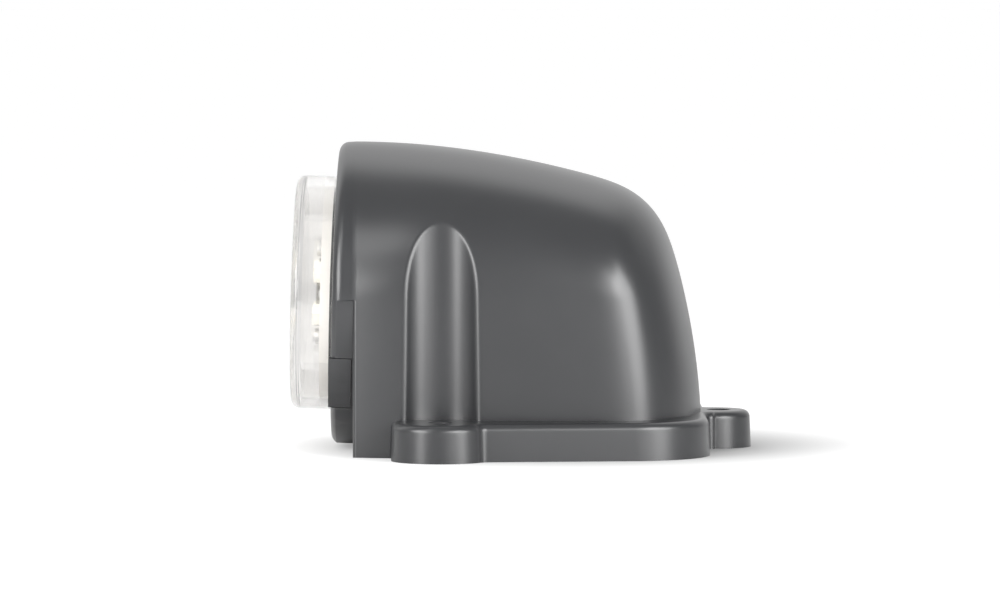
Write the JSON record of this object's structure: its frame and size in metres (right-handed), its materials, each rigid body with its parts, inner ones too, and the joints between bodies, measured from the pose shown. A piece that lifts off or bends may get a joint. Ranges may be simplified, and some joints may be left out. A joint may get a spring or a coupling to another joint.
{
  "type": "marker lamp",
  "caption": "Hooded marker lamp: a moulded hood with a screw flange and ears carries a round plug-in light insert under a clear cap.",
  "frame": {"origin": "midway between the two front screw holes, on the mounting plane", "axes": "+Z away from the mounting plane, the lens looks to -X, +Y to the lamp's right ear, and the XZ plane mirrors the lamp"},
  "size_m": [0.0975, 0.1008, 0.0647],
  "materials": {
    "black_moulding": "fine satin mould texture",
    "clear_cap": "clear moulded plastic",
    "seal_rubber": "soft rubber",
    "insert_moulding": "satin",
    "ring_rubber": "soft rubber",
    "white_plate": "glossy white",
    "board_laminate": "white solder mask",
    "screw_steel": "plated",
    "diode_case": "white moulded case",
    "diode_window": "yellow phosphor",
    "chip_case": "matte",
    "capacitor_can": "satin",
    "resistor_body": "matte",
    "solder": "bright solder",
    "lead_red": "smooth sheath",
    "lead_black": "smooth sheath",
    "blade_brass": "stamped sheet",
    "rivet_steel": "plated"
  },
  "bodies": {
    "root": {"housing": "black_moulding", "lens": "clear_cap", "lens_seal": "seal_rubber", "insert_body": "insert_moulding", "insert_oring": "ring_rubber", "reflector": "white_plate", "board": "board_laminate", "board_screws": "screw_steel", "leds": "diode_case", "led_windows": "diode_window", "driver_chip": "chip_case", "capacitor": "capacitor_can", "resistors": "resistor_body", "solder_joints": "solder", "lead_positive": "lead_red", "lead_negative": "lead_black", "blade_positive": "blade_brass", "blade_negative": "blade_brass", "blade_rivets": "rivet_steel"}
  },
  "joints": []
}
